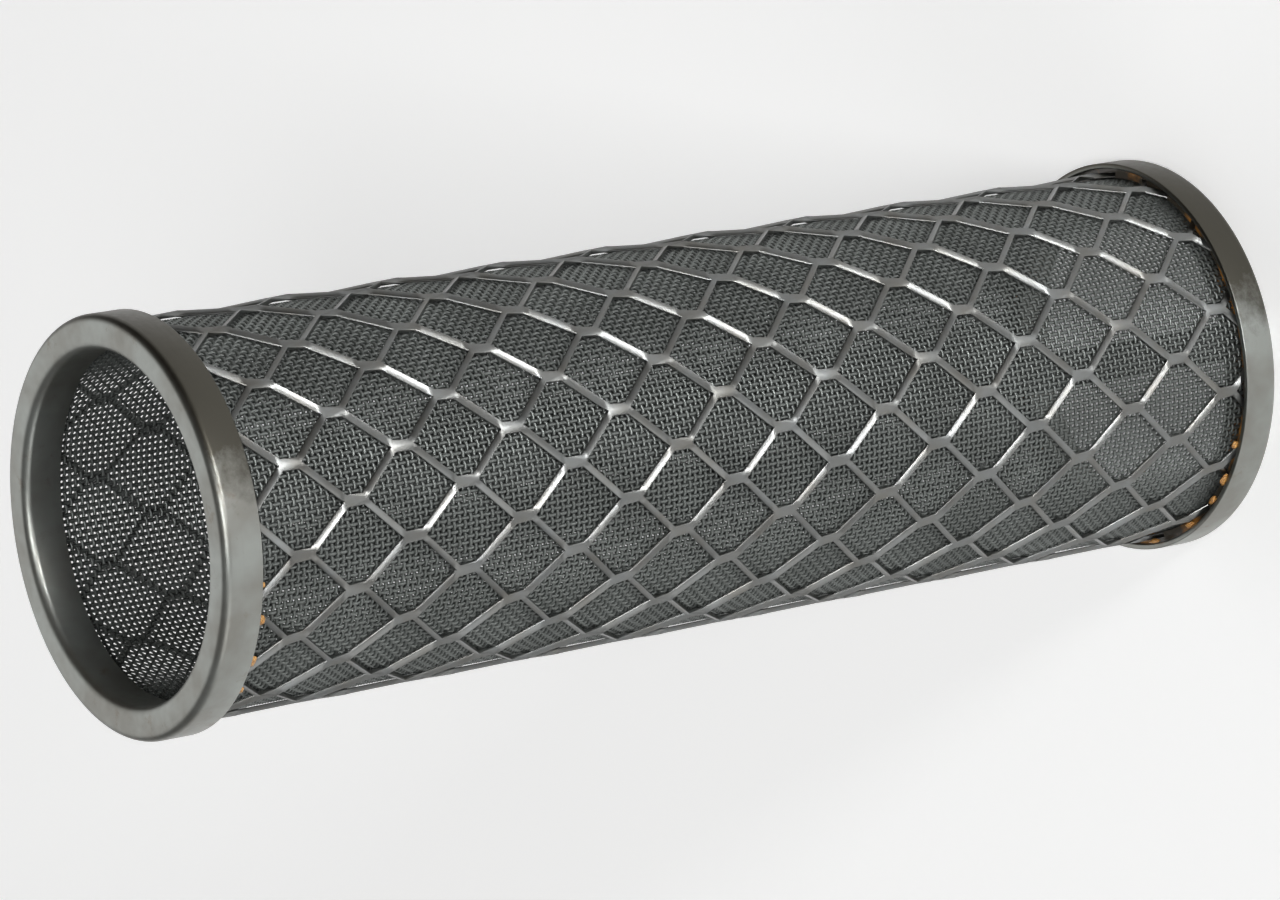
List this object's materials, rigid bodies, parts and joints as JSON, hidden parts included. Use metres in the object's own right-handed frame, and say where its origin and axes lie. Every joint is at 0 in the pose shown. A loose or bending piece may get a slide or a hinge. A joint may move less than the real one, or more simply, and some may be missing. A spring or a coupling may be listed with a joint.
{
  "type": "mesh filter element",
  "caption": "Open tube strainer element: wire cloth sleeve inside an expanded metal tube, bonded into a U-section steel ring at each end.",
  "frame": {"origin": "centre of the lower ring's outer face, which the element stands on", "axes": "+Z along the tube axis, from the lower ring to the upper ring"},
  "size_m": [0.06, 0.06, 0.185],
  "materials": {
    "ring_steel": "satin, lightly stained",
    "expanded_steel": "satin zinc plate",
    "wire_cloth": "drawn wire, plain weave",
    "amber_resin": "cured resin"
  },
  "bodies": {
    "root": {"lower_ring": "ring_steel", "upper_ring": "ring_steel", "support_tube": "expanded_steel", "mesh_sleeve": "wire_cloth", "lower_bond": "amber_resin", "upper_bond": "amber_resin"}
  },
  "joints": []
}
